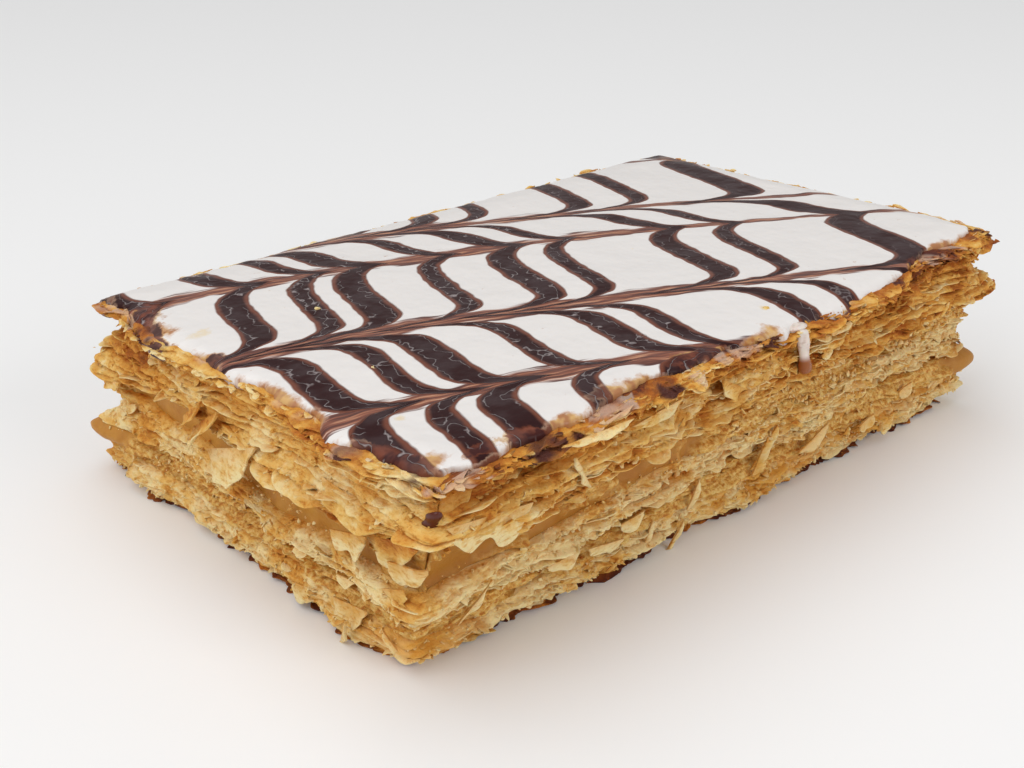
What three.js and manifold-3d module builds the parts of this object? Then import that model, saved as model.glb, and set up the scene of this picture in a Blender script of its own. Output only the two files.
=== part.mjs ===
// A slice of mille-feuille: three sheets of baked puff pastry, two bands of pastry cream between
// them, and a lid of poured sugar icing with one run of icing down the long side.
// Millimetres, +Z up, long side along +X. The slice is laid out from its near corner and moved
// at the end so that the middle of its underside is the origin.
import * as THREE from "three";
import { mergeVertices } from "three/addons/utils/BufferGeometryUtils.js";
import Module from "manifold-3d";

const wasm = await Module();
wasm.setup();

// The cut block. Each corner leans, because the knife dragged the sheets over one another.
const longSide = 119.5;
const shortSide = 72.8;
const crustHeight = 28.4;
const crustRiseAlongLong = 1.6;
const crustRiseAlongShort = -0.8;
const corners = [
  { name: "near", bottom: [1.5, 4.6], top: [-0.2, -5.0], away: [-1, -1] },
  { name: "right", bottom: [116.9, 0.1], top: [122.4, 0.4], away: [1, -1] },
  { name: "back", bottom: [118.5, 73.0], top: [119.3, 71.4], away: [1, 1] },
  { name: "left", bottom: [-1.3, 74.7], top: [-0.1, 72.6], away: [-1, 1] },
];
const cornerRadius = 4.0;
const cornerSteps = 3;
const longSteps = 30;
const shortSteps = 16;
const smallestDetail = 0.06;

// Where one layer ends and the next begins, as a share of the height, at the near, right, back
// and left corners.
const bottomSheetRoof = [0.18, 0.21, 0.2, 0.17];
const middleSheetFloor = [0.27, 0.335, 0.32, 0.27];
const middleSheetRoof = [0.455, 0.53, 0.53, 0.53];
const topSheetFloor = [0.62, 0.64, 0.66, 0.68];
const topSheetRoof = [1, 1, 1, 1];

// Layers stand a hair apart.
const layerGap = 0.3;
const creamRecess = 1.7;
const creamHollow = 0.5;
const lowerCreamSwell = 1.1;

// Icing lid and its run.
const icingThickness = 1.4;
const icingInset = 1.7;
const icingRagged = 1.0;
const runAlong = 66.0;
const runWidth = 2.0;
const runDrop = 7.6;

// Leaves of each sheet from the bottom up: how far the leaf edge stands out of the cut face.
const bottomLeaves = [-0.4, 1.0, 0.4];
const middleLeaves = [-0.3, 0.5, 0.3];
const topLeaves = [0.7, 1.5, 0.7, -0.5, 0.3];
const leafGapDepth = 1.7;

// Swells and dents of the cut face at the three corners that took the most handling.
const swells = [
  { corner: 0, share: 0.76, out: 2.8, reach: 9, band: 0.07 },
  { corner: 0, share: 0.95, out: -1.6, reach: 10, band: 0.06 },
  { corner: 0, share: 0.38, out: 1.2, reach: 8, band: 0.07 },
  { corner: 1, share: 0.81, out: -2.4, reach: 9, band: 0.05 },
  { corner: 1, share: 0.66, out: 2.2, reach: 9, band: 0.05 },
  { corner: 1, share: 0.45, out: -1.6, reach: 9, band: 0.07 },
  { corner: 1, share: 0.2, out: 0.9, reach: 8, band: 0.06 },
  { corner: 3, share: 0.84, out: -3.0, reach: 9, band: 0.05 },
  { corner: 3, share: 0.64, out: 1.2, reach: 9, band: 0.05 },
  { corner: 3, share: 0.41, out: -3.2, reach: 9, band: 0.08 },
  { corner: 3, share: 0.16, out: 1.4, reach: 8, band: 0.06 },
];

// The lowest leaf of the top sheet sags in ragged tatters over the cream below it.
const sagShare = 0.4;

const perimeter = 2 * (longSide + shortSide);

function seeded(seed) {
  let state = seed * 2654435761 + 97;
  return () => {
    state = (Math.imul(state ^ (state >>> 15), 2246822519) + 3266489917) >>> 0;
    return state / 4294967296;
  };
}

// A slow wander round the edge of the slice, between about -1 and 1, that closes on itself.
function wander(seed, wavelength, along) {
  const next = seeded(seed);
  const waves = [1, 1.7, 2.6];
  let sum = 0;
  for (const wave of waves) {
    const cycles = Math.round((perimeter / wavelength) * wave * 0.6);
    const start = next() * Math.PI * 2;
    sum += Math.sin((along / perimeter) * cycles * Math.PI * 2 + start) / Math.sqrt(wave);
  }
  return sum / 1.75;
}

// A corner at a share of the height, moved out of the slice along both of its sides.
function cornerAt(index, rise, out = 0) {
  const { bottom, top, away } = corners[index % 4];
  const corner = new THREE.Vector2(...bottom).lerp(new THREE.Vector2(...top), rise);
  return corner.addScaledVector(new THREE.Vector2(...away), out);
}

function sideAt(index, rise, out) {
  const from = cornerAt(index, rise, out);
  const to = cornerAt(index + 1, rise, out);
  const way = to.clone().sub(from).normalize();
  const start = from.clone().addScaledVector(way, cornerRadius);
  const end = to.clone().addScaledVector(way, -cornerRadius);
  return { from, start, end, out: new THREE.Vector2(way.y, -way.x) };
}

// Stations round the outline: straight runs joined by short curves at the corners.
const stations = [];
for (let side = 0; side < 4; side++) {
  for (let step = 1; step <= cornerSteps; step++) {
    stations.push({ side, turn: step / (cornerSteps + 1) });
  }
  const steps = side % 2 === 0 ? longSteps : shortSteps;
  for (let step = 0; step <= steps; step++) {
    stations.push({ side, part: step / steps });
  }
}

function outlineAt(station, rise, outward = 0) {
  const { side, turn, part } = station;
  const here = sideAt(side, rise, outward);
  if (turn === undefined) {
    return { at: here.start.clone().lerp(here.end, part), out: here.out };
  }
  const before = sideAt(side + 3, rise, outward);
  const curve = new THREE.QuadraticBezierCurve(before.end, here.from, here.start);
  const out = before.out.clone().lerp(here.out, turn).normalize();
  return { at: curve.getPoint(turn), out };
}

let walked = 0;
stations.forEach((station, index) => {
  const here = outlineAt(station, 0.5).at;
  const before = outlineAt(stations[(index + stations.length - 1) % stations.length], 0.5).at;
  walked += index ? here.distanceTo(before) : 0;
  station.along = walked;
});

function crustAt(x, y) {
  return crustHeight + (crustRiseAlongLong * x) / longSide + (crustRiseAlongShort * y) / shortSide;
}

function shareAt(shares, x, y) {
  const u = x / longSide;
  const v = y / shortSide;
  const front = shares[0] * (1 - u) + shares[1] * u;
  const rear = shares[3] * (1 - u) + shares[2] * u;
  return front * (1 - v) + rear * v;
}

function levelAt(shares, x, y) {
  return shareAt(shares, x, y) * crustAt(x, y);
}

// A point of the outline at a share of the height, moved out of or into the cut face.
function edgePoint(station, share, out) {
  return outlineAt(station, share, out).at;
}

function swellAt(rough, share) {
  let out = 0;
  for (const swell of swells) {
    const apart = rough.distanceTo(cornerAt(swell.corner, 0.5)) / swell.reach;
    const above = (share - swell.share) / swell.band;
    out += swell.out * Math.exp(-apart * apart - above * above);
  }
  return out;
}

function sagAt(station, rough) {
  const room = shareAt(topSheetFloor, rough.x, rough.y) - shareAt(middleSheetRoof, rough.x, rough.y);
  const left = rough.distanceTo(cornerAt(3, 0.5)) / 9;
  const ragged = 0.2 + 0.7 * wander(61, 13, station.along) + 1.6 * Math.exp(-left * left);
  return sagShare * room * Math.min(1, Math.max(0, ragged));
}

// A closed body from rings of points, one point per station, with a flat fan over each end.
function closedShell(rings, floorMiddle, roofMiddle) {
  const rows = rings.length + 2;
  const profile = Array.from({ length: rows }, (_, row) => new THREE.Vector2(1, row));
  const shell = new THREE.LatheGeometry(profile, stations.length);
  const place = shell.getAttribute("position");
  for (let column = 0; column <= stations.length; column++) {
    const index = column % stations.length;
    for (let row = 0; row < rows; row++) {
      const inside = row > 0 && row < rows - 1;
      const end = row === 0 ? floorMiddle : roofMiddle;
      const point = inside ? rings[row - 1][index] : end;
      place.setXYZ(column * rows + row, point.x, point.y, point.z);
    }
  }
  return shell;
}

function cleaned(geometry) {
  const bare = geometry.clone();
  bare.deleteAttribute("normal");
  bare.deleteAttribute("uv");
  const welded = mergeVertices(bare, 1e-5);
  const index = welded.getIndex().array;
  const kept = [];
  for (let i = 0; i < index.length; i += 3) {
    const [a, b, c] = [index[i], index[i + 1], index[i + 2]];
    if (a !== b && b !== c && c !== a) {
      kept.push(a, b, c);
    }
  }
  welded.setIndex(kept);
  return welded;
}

function enclosedVolume(geometry) {
  const place = geometry.getAttribute("position");
  const index = geometry.getIndex().array;
  const corner = [0, 1, 2].map(() => new THREE.Vector3());
  let volume = 0;
  for (let i = 0; i < index.length; i += 3) {
    corner.forEach((point, k) => point.fromBufferAttribute(place, index[i + k]));
    volume += corner[0].dot(corner[1].clone().cross(corner[2])) / 6;
  }
  return volume;
}

function solidFrom(geometry) {
  const clean = cleaned(geometry);
  const index = Array.from(clean.getIndex().array);
  if (enclosedVolume(clean) < 0) {
    for (let i = 0; i < index.length; i += 3) {
      [index[i + 1], index[i + 2]] = [index[i + 2], index[i + 1]];
    }
  }
  const mesh = new wasm.Mesh({
    numProp: 3,
    vertProperties: new Float32Array(clean.getAttribute("position").array),
    triVerts: new Uint32Array(index),
  });
  return new wasm.Manifold(mesh);
}

function geometryFrom(solid) {
  const mesh = solid.getMesh();
  const geometry = new THREE.BufferGeometry();
  geometry.setAttribute("position", new THREE.BufferAttribute(mesh.vertProperties, 3));
  geometry.setIndex(new THREE.BufferAttribute(mesh.triVerts, 1));
  geometry.computeVertexNormals();
  return geometry;
}

// How far each cream band stands back from the cut face. The lower band swells out again at the
// left and right corners, where the weight of the lid pressed it.
function upperRecess(station) {
  return creamRecess + 0.5 * wander(41, 30, station.along);
}

function lowerRecess(station) {
  const at = outlineAt(station, 0.3).at;
  const left = Math.hypot(at.x, at.y - shortSide);
  const right = Math.hypot(at.x - longSide, at.y);
  const swell = Math.exp(-((left / 7) ** 2)) + Math.exp(-((right / 7) ** 2));
  return creamRecess + 0.5 * wander(43, 26, station.along) - lowerCreamSwell * swell;
}

function icingEdge(station) {
  return icingInset + icingRagged * wander(47, 12, station.along);
}

function flatRing(shares, recess, lift) {
  return stations.map((station) => {
    const rough = outlineAt(station, 0.5).at;
    const share = shareAt(shares, rough.x, rough.y);
    const at = edgePoint(station, share, -recess(station));
    return new THREE.Vector3(at.x, at.y, levelAt(shares, at.x, at.y) + lift);
  });
}

function middleOf(shares, lift) {
  const x = longSide / 2;
  const y = shortSide / 2;
  return new THREE.Vector3(x, y, levelAt(shares, x, y) + lift);
}

// One pastry sheet: leaf edges stand out, the slits between leaves run back in, and both wander.
function sheetShell({ seed, floor, roof, floorRecess, roofRecess, leaves, sags }) {
  const levels = leaves.length * 2;
  const rings = [flatRing(floor, (station) => floorRecess(station) - 0.3, 0)];
  for (let level = 0; level <= levels; level++) {
    const leaf = Math.min(leaves.length - 1, Math.floor(level / 2));
    const isLeaf = level % 2 === 1;
    const ring = stations.map((station) => {
      const rough = outlineAt(station, 0.5).at;
      const low = shareAt(floor, rough.x, rough.y);
      const high = shareAt(roof, rough.x, rough.y);
      const step = (high - low) / levels;
      const own = wander(seed + level, 17, station.along);
      const shared = wander(seed + 70, 38, station.along);
      const fine = wander(seed + 30 + level, 8, station.along);
      const ends = level === 0 || level === levels;
      const sway = ends ? 0.25 : 0.3;
      const sag = sags && level < 3 ? [1, 0.8, 0.35][level] * sagAt(station, rough) : 0;
      const share = low + step * (level + sway * own + (ends ? 0 : 0.45 * shared)) - sag;
      const stand = leaves[leaf] + 0.8 * wander(seed + 50 + leaf, 22, station.along) + 0.45 * fine;
      const slit = leafGapDepth * (0.75 + 0.35 * own);
      const out = (isLeaf ? stand : stand - slit * (ends ? 0.6 : 1)) + swellAt(rough, share);
      const at = edgePoint(station, share, out);
      const height = Math.max(0, share) * crustAt(at.x, at.y);
      return new THREE.Vector3(at.x, at.y, height);
    });
    rings.push(ring);
  }
  rings.push(flatRing(roof, (station) => roofRecess(station) - 0.3, 0));
  return { rings, floorMiddle: middleOf(floor, 0), roofMiddle: middleOf(roof, 0) };
}

// One cream band: top and bottom lie a hair off the sheets, the side is slightly hollow.
function creamShell(floor, roof, recess) {
  const low = flatRing(floor, recess, layerGap);
  const high = flatRing(roof, recess, -layerGap);
  const hollow = stations.map((station, index) => {
    const at = low[index].clone().lerp(high[index], 0.5);
    const inward = outlineAt(station, 0.4).out.clone().multiplyScalar(-creamHollow);
    return at.add(new THREE.Vector3(inward.x, inward.y, 0));
  });
  const floorMiddle = middleOf(floor, layerGap);
  return closedShell([low, hollow, high], floorMiddle, middleOf(roof, -layerGap));
}

// A flake of pastry: a flat, four-sided, tapering splinter lying in the cut face.
function flake(station, share, { length, width, thickness, out, turn, lean }) {
  const splinter = new THREE.CylinderGeometry(width * 0.3, width * 0.55, length, 4);
  splinter.scale(1, 1, thickness / width);
  splinter.rotateX(lean);
  splinter.rotateZ(turn);
  const edge = outlineAt(station, share);
  const at = edgePoint(station, share, out);
  const across = new THREE.Vector3(-edge.out.y, edge.out.x, 0);
  const outward = new THREE.Vector3(edge.out.x, edge.out.y, 0);
  const frame = new THREE.Matrix4().makeBasis(across, new THREE.Vector3(0, 0, 1), outward);
  splinter.applyMatrix4(frame);
  splinter.translate(at.x, at.y, share * crustAt(at.x, at.y));
  return solidFrom(splinter);
}

function scatterFlakes(body, { seed, count, floor, roof, stand, margin }) {
  const next = seeded(seed);
  let grown = body;
  for (let i = 0; i < count; i++) {
    const station = stations[Math.floor(next() * stations.length)];
    const rough = outlineAt(station, 0.5).at;
    const low = shareAt(floor, rough.x, rough.y) + margin;
    const high = shareAt(roof, rough.x, rough.y) - margin;
    const shape = {
      length: 4 + 5 * next(),
      width: 1.8 + 1.6 * next(),
      thickness: 1.1 + 0.5 * next(),
      out: stand + 0.5 * next(),
      turn: (next() < 0.5 ? 1 : -1) * (1.0 + 0.5 * next()),
      lean: -0.25 + 0.3 * next(),
    };
    grown = grown.add(flake(station, low + (high - low) * next(), shape));
  }
  return grown;
}

// The flakes that grew onto the body, without any splinter that lies clear of it.
function wholeBody(solid) {
  const pieces = solid.simplify(smallestDetail).decompose();
  return pieces.sort((one, other) => other.volume() - one.volume())[0];
}

function stationAt(side, part) {
  const here = stations.filter((station) => station.side === side && station.part !== undefined);
  return here[Math.round(part * (here.length - 1))];
}

// The run of icing: over the lip of the crust, then down outside the cut face.
function icingRun(radius) {
  const station = stationAt(0, runAlong / longSide);
  const edge = outlineAt(station, 1);
  const top = crustAt(edge.at.x, edge.at.y);
  const reach = (out, height) => {
    const at = edge.at.clone().addScaledVector(edge.out, out);
    return new THREE.Vector3(at.x, at.y, height);
  };
  const knots = [reach(-4, top + 0.7), reach(0.5, top + 0.1), reach(1.5, top - runDrop)];
  const pieces = [];
  for (let i = 0; i < 2; i++) {
    const way = knots[i + 1].clone().sub(knots[i]);
    const capsule = new THREE.CapsuleGeometry(radius, way.length(), 2, 8);
    const up = new THREE.Vector3(0, 1, 0);
    capsule.applyQuaternion(new THREE.Quaternion().setFromUnitVectors(up, way.normalize()));
    const middle = knots[i].clone().lerp(knots[i + 1], 0.5);
    capsule.translate(middle.x, middle.y, middle.z);
    pieces.push(solidFrom(capsule));
  }
  return pieces[0].add(pieces[1]);
}

const ground = [0, 0, 0, 0];
const underside = (station) => 3.5 + 0.6 * wander(53, 20, station.along);

// The bottom sheet sits flat; only its rim lifts a little off the ground.
const bottomShell = sheetShell({
  seed: 100,
  floor: ground,
  roof: bottomSheetRoof,
  floorRecess: underside,
  roofRecess: lowerRecess,
  leaves: bottomLeaves,
});
stations.forEach((station, index) => {
  bottomShell.rings[1][index].z = 0.28 + 0.22 * wander(59, 24, station.along);
});

const middleShell = sheetShell({
  seed: 200,
  floor: middleSheetFloor,
  roof: middleSheetRoof,
  floorRecess: lowerRecess,
  roofRecess: upperRecess,
  leaves: middleLeaves,
});

const topShell = sheetShell({
  seed: 300,
  floor: topSheetFloor,
  roof: topSheetRoof,
  floorRecess: upperRecess,
  roofRecess: icingEdge,
  leaves: topLeaves,
  sags: true,
});

function shellSolid({ rings, floorMiddle, roofMiddle }) {
  return solidFrom(closedShell(rings, floorMiddle, roofMiddle));
}

const icingRings = [
  flatRing(topSheetRoof, (station) => icingEdge(station) + 0.3, layerGap),
  flatRing(topSheetRoof, icingEdge, layerGap + icingThickness * 0.45),
  flatRing(topSheetRoof, (station) => icingEdge(station) + 0.7, icingThickness * 0.95),
  flatRing(topSheetRoof, (station) => icingEdge(station) + 4, icingThickness + 0.15),
];
const icingShell = closedShell(
  icingRings,
  middleOf(topSheetRoof, layerGap),
  middleOf(topSheetRoof, icingThickness + 0.2),
);

const bottomSheet = scatterFlakes(shellSolid(bottomShell), {
  seed: 11,
  count: 16,
  floor: ground,
  roof: bottomSheetRoof,
  stand: -0.2,
  margin: 0.075,
});
const middleSheet = scatterFlakes(shellSolid(middleShell), {
  seed: 12,
  count: 16,
  floor: middleSheetFloor,
  roof: middleSheetRoof,
  stand: -0.2,
  margin: 0.075,
});
let topSheet = scatterFlakes(shellSolid(topShell), {
  seed: 13,
  count: 30,
  floor: topSheetFloor,
  roof: topSheetRoof,
  stand: 0.3,
  margin: 0.08,
});

// Large flakes torn loose from the underside of the top sheet.
const torn = [
  { side: 0, part: 0.07, share: 0.6, length: 9, width: 5.5, out: 1.6, turn: 1.25, lean: -0.1 },
  { side: 3, part: 0.42, share: 0.66, length: 11, width: 5, out: 1.5, turn: -0.75, lean: -0.12 },
  { side: 3, part: 0.03, share: 0.62, length: 8, width: 4, out: 1.7, turn: 1.35, lean: -0.1 },
  { side: 0, part: 0.99, share: 0.68, length: 8, width: 4, out: 1.2, turn: 1.4, lean: -0.1 },
];
for (const shape of torn) {
  const station = stationAt(shape.side, shape.part);
  topSheet = topSheet.add(flake(station, shape.share, { thickness: 1.5, ...shape }));
}
topSheet = topSheet.subtract(icingRun(runWidth / 2 + 0.35));
const icing = solidFrom(icingShell).add(icingRun(runWidth / 2));

const baked = new THREE.MeshStandardMaterial({ color: 0xd2a860, roughness: 0.75, metalness: 0 });
const pale = new THREE.MeshStandardMaterial({ color: 0xdcc078, roughness: 0.8, metalness: 0 });
const cream = new THREE.MeshStandardMaterial({ color: 0xbe8238, roughness: 0.5, metalness: 0 });
const sugar = new THREE.MeshStandardMaterial({ color: 0xe6e2dc, roughness: 0.3, metalness: 0 });

const slice = new THREE.Group();
slice.name = "mille_feuille_slice";

function addNode(name, geometry, material) {
  const node = new THREE.Mesh(geometry, material);
  node.name = name;
  slice.add(node);
}

const lowerCream = creamShell(bottomSheetRoof, middleSheetFloor, lowerRecess);
const upperCream = creamShell(middleSheetRoof, topSheetFloor, upperRecess);
addNode("pastry_bottom", geometryFrom(wholeBody(bottomSheet.trimByPlane([0, 0, 1], 0))), pale);
addNode("cream_lower", geometryFrom(solidFrom(lowerCream)), cream);
addNode("pastry_middle", geometryFrom(wholeBody(middleSheet)), pale.clone());
addNode("cream_upper", geometryFrom(solidFrom(upperCream)), cream.clone());
addNode("pastry_top", geometryFrom(wholeBody(topSheet)), baked);
addNode("icing", geometryFrom(icing), sugar);

const extent = new THREE.Box3().setFromObject(slice);
const centre = extent.getCenter(new THREE.Vector3());
for (const node of slice.children) {
  node.geometry.translate(-centre.x, -centre.y, -extent.min.z);
}

export default slice;
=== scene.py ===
import math

import bmesh
import bpy
import numpy as np
from mathutils import Matrix, Vector


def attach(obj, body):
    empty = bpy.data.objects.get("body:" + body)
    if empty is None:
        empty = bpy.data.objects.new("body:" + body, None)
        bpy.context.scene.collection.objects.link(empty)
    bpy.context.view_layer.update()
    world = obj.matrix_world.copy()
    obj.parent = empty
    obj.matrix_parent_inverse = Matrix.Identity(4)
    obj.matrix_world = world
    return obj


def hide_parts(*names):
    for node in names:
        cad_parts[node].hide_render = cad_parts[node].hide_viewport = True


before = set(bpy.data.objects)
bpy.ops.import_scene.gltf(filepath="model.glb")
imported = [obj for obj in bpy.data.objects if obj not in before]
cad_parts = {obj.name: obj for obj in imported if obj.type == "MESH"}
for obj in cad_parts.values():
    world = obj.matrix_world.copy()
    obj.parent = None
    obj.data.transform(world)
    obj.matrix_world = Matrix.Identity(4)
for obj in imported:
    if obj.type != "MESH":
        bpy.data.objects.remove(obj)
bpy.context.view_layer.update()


# Camera: held a little above the near corner of the slice, so that it looks down along both cut
# faces. Its turn is given as a heading, a tilt down and a small roll, in degrees.
def show(name, data):
    """Put an object in the scene."""
    thing = bpy.data.objects.new(name, data)
    bpy.context.collection.objects.link(thing)
    return thing


EYE = (-0.12448, -0.12138, 0.09021)
HEADING, DOWN, ROLL = 47.75, 25.27, 0.475
camera = bpy.data.cameras.new("camera")
camera.lens = 41.56
camera.sensor_width = 36
camera_stand = show("camera", camera)
aim = Matrix.Rotation(math.radians(HEADING - 90), 4, "Z")
aim = aim @ Matrix.Rotation(math.radians(90 - DOWN), 4, "X")
aim = aim @ Matrix.Rotation(math.radians(ROLL), 4, "Z")
camera_stand.matrix_world = Matrix.Translation(EYE) @ aim
bpy.context.scene.camera = camera_stand
bpy.context.scene.view_settings.view_transform = "Standard"


# Lamps: a broad soft light from overhead and two smaller panels in front, one for each cut face,
# in an evenly lit white room.
def lamp(name, place, size, power):
    light = bpy.data.lights.new(name, "AREA")
    light.shape = "DISK"
    light.size = size
    light.energy = power
    stand = show(name, light)
    stand.location = place
    stand.rotation_euler = (-Vector(place)).to_track_quat("-Z", "Y").to_euler()


lamp("left_front", (-0.55, 0.0, 0.36), 0.5, 1.08)
lamp("right_front", (0.1, -0.6, 0.32), 0.35, 1.2)
overhead = bpy.data.lights.new("overhead", "SUN")
overhead.energy = 1.15
overhead.angle = math.radians(70)
show("overhead", overhead).rotation_euler = (math.radians(-18), math.radians(-8), 0)
world = bpy.data.worlds.new("room")
world.use_nodes = True
world.node_tree.nodes["Background"].inputs[0].default_value = (1, 1, 1, 1)
world.node_tree.nodes["Background"].inputs[1].default_value = 0.42
bpy.context.scene.world = world


# Table: a plain pale surface, matt and hard, that the slice stands on. It is wide enough to run
# out of sight.
def paint(name, roughness):
    material = bpy.data.materials.new(name)
    material.use_nodes = True
    shader = material.node_tree.nodes["Principled BSDF"]
    shader.inputs["Roughness"].default_value = roughness
    return material, material.node_tree, shader


def mesh_from(bm, name):
    """The shape as a mesh, with the working copy freed."""
    mesh = bpy.data.meshes.new(name)
    bm.to_mesh(mesh)
    bm.free()
    return mesh


bm = bmesh.new()
bmesh.ops.create_grid(bm, x_segments=1, y_segments=1, size=3.0)
table_mesh = mesh_from(bm, "table")
table_paint, _, table_shader = paint("pale_table", 0.9)
table_shader.inputs["Base Color"].default_value = (0.9, 0.9, 0.9, 1)
table_mesh.materials.append(table_paint)
table = show("table", table_mesh)


# Bottom sheet: the lowest of three sheets of puff pastry, baked in one tray and knifed into
# slices. The knife leans and drags, so each corner of the slice leans its own way. Sizes are in
# millimetres along the cut face, from the near corner, and moved to the middle at the end.
MIDDLE = np.array((60.50, 35.45))
LONG, SHORT = 119.5, 72.8
CRUST_LEVEL = 28.4
CORNERS = np.array([  # foot and top of the near, right, back and left corners
    ((1.5, 4.6), (-0.2, -5.0)),
    ((116.9, 0.1), (122.4, 0.4)),
    ((118.5, 73.0), (119.3, 71.4)),
    ((-1.3, 74.7), (-0.1, 72.6)),
])
CORNER_RADIUS = 1.8
CORNER_STEPS, LONG_STEPS, SHORT_STEPS = 16, 240, 145
# Floors and roofs of the layers, as shares of the height at the near, right, back and left corners.
GROUND = (0.0, 0.0, 0.0, 0.0)
BOTTOM_ROOF = (0.18, 0.21, 0.20, 0.17)
MIDDLE_FLOOR = (0.27, 0.335, 0.32, 0.30)
MIDDLE_ROOF = (0.455, 0.53, 0.53, 0.53)
TOP_FLOOR = (0.62, 0.64, 0.66, 0.68)
CRUST = (1.0, 1.0, 1.0, 1.0)
SWELLS = [  # corner, share of the height, stands out, reach along the face, band of shares
    (0, 0.82, 1.2, 9, 0.05), (0, 0.95, -1.6, 10, 0.06), (0, 0.38, 1.2, 8, 0.07),
    (1, 0.82, -1.7, 9, 0.05), (1, 0.69, 3.3, 9, 0.06), (1, 0.47, -2.6, 9, 0.07),
    (1, 0.26, 2.4, 9, 0.08), (1, 0.06, -1.4, 8, 0.05), (3, 0.88, -1.4, 9, 0.05),
    (3, 0.65, 3.3, 9, 0.07), (3, 0.44, -1.7, 9, 0.07), (3, 0.26, 3.4, 9, 0.09),
]
# Where the crust bulges under the icing: walk from the near corner, reach, how far.
RIMS = [(-14, 7, 1.2), (-41, 9, 1.2), (-57, 9, 2.5), (79, 14, 1.9)]


def outline(rise):
    """Points and outward directions round the block at its foot (0) or top (1)."""
    corner = CORNERS[:, 0] * (1 - rise) + CORNERS[:, 1] * rise
    points, away = [], []
    for k in range(4):
        before, here, after = corner[k - 1], corner[k], corner[(k + 1) % 4]
        back = (before - here) / np.linalg.norm(before - here)
        on = (after - here) / np.linalg.norm(after - here)
        start, end = here + back * CORNER_RADIUS, here + on * CORNER_RADIUS
        out_before = np.array([-back[1], back[0]])
        out_after = np.array([on[1], -on[0]])
        for part in np.linspace(0, 1, CORNER_STEPS):
            points.append(start * (1 - part) ** 2 + here * 2 * part * (1 - part) + end * part**2)
            away.append(out_before * min(1, 2 - 2 * part) + out_after * min(1, 2 * part))
        far = after - on * CORNER_RADIUS
        for part in np.linspace(0, 1, (LONG_STEPS, SHORT_STEPS)[k % 2] + 1)[1:-1]:
            points.append(end * (1 - part) + far * part)
            away.append(out_after)
    points.append(points[0])
    away.append(away[0])
    return np.array(points), np.array(away)


RING_LOW, _ = outline(0.0)
RING_MID, _ = outline(0.5)
RING_HIGH, RING_AWAY = outline(1.0)
RING_STEPS = np.linalg.norm(np.diff(RING_MID, axis=0), axis=1)
RING_ALONG = np.concatenate([[0], np.cumsum(RING_STEPS)])
ROUND = RING_ALONG[-1]
# Where the near, right, back and left corners come on the walk round the slice.
FULL_LONG, FULL_SHORT = CORNER_STEPS + LONG_STEPS - 1, CORNER_STEPS + SHORT_STEPS - 1
TURNS = np.cumsum([CORNER_STEPS // 2 - 1, FULL_LONG, FULL_SHORT, FULL_LONG])
NEAR, RIGHT, BACK, LEFT = RING_ALONG[TURNS]


def on_ring(ring, along):
    at = np.mod(along, ROUND)
    return np.stack([np.interp(at, RING_ALONG, ring[:, i]) for i in (0, 1)], -1)


def plan_at(along):
    """Where a walk of some millimetres round the slice comes out, seen from above."""
    return np.moveaxis(on_ring(RING_MID, along), -1, 0)


def facing_at(along):
    """One on the long near side, which browned most, and nothing on the others. It darkens that
    side partly as painted shade: some of the extra brown there, and all of the cream's darkening.
    """
    return smooth(-on_ring(RING_AWAY, along)[..., 1], 0.2, 0.9)


def walk_past(along, spot):
    """Millimetres along the walk from a spot, which is given from the near corner."""
    return np.mod(along - NEAR - spot + ROUND / 2, ROUND) - ROUND / 2


def from_corner(corner, x, y):
    middle = CORNERS[corner].mean(0)
    return np.hypot(x - middle[0], y - middle[1])


def crust_height(xy):
    return CRUST_LEVEL + 1.6 * xy[..., 0] / LONG - 0.8 * xy[..., 1] / SHORT


def smooth(value, low, high):
    part = np.clip((value - low) / (high - low), 0, 1)
    return part * part * (3 - 2 * part)


def hill(*parts):
    """One in the middle, fading to almost nothing twice the reach away."""
    return np.exp(-sum(part**2 for part in parts))


def share_at(shares, x, y):
    """Height of a layer's edge, with the dip of the short side and the lift of the near corner."""
    u, v = x / LONG, y / SHORT
    front = shares[0] * (1 - u) + shares[1] * u
    rear = shares[3] * (1 - u) + shares[2] * u
    level = front * (1 - v) + rear * v
    dip = 0.2 * hill(x / 14, (y - 31) / 13) * smooth(level, 0.35, 0.5)
    lift = 0.13 * hill(x / 9, y / 9) * smooth(level, 0.5, 0.6)
    return level - dip * (1 - level) + lift * smooth(1 - level, 0, 0.2)


def grain(x, y, z, seed):
    """Smooth random relief between about -1 and 1, one lump to each unit."""
    places = np.broadcast_arrays(x, y, z)
    cell = [np.floor(place).astype(np.int64) for place in places]
    part = [place - low for place, low in zip(places, cell)]
    part = [p * p * (3 - 2 * p) for p in part]
    total = 0
    for dx, dy, dz in np.ndindex(2, 2, 2):
        mix = (cell[0] + dx) * 73856093 ^ (cell[1] + dy) * 19349663
        mix = mix ^ (cell[2] + dz) * 83492791 ^ (seed * 7919 + 12345)
        mix = (mix ^ (mix >> 13)) * 1274126177 & 0xFFFFFFFF
        mix = (mix ^ (mix >> 15)) * 2246822519 & 0xFFFFFFFF
        value = (mix ^ (mix >> 16)) / 2147483648.0 - 1
        weight = part[0] if dx else 1 - part[0]
        weight = weight * (part[1] if dy else 1 - part[1])
        total = total + value * weight * (part[2] if dz else 1 - part[2])
    return total


def lumps(x, y, size, level, seed):
    """Relief in lumps of some millimetres, another one for each whole number of the level."""
    return grain(x / size, y / size, level, seed)


def cut_point(along, share, out):
    """Plan position of a spot on the cut face, standing out from it by some millimetres."""
    share = np.asarray(share, float)[..., None]
    out = np.asarray(out, float)[..., None]
    low, high = on_ring(RING_LOW, along), on_ring(RING_HIGH, along)
    return low * (1 - share) + high * share + on_ring(RING_AWAY, along) * out


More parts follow.
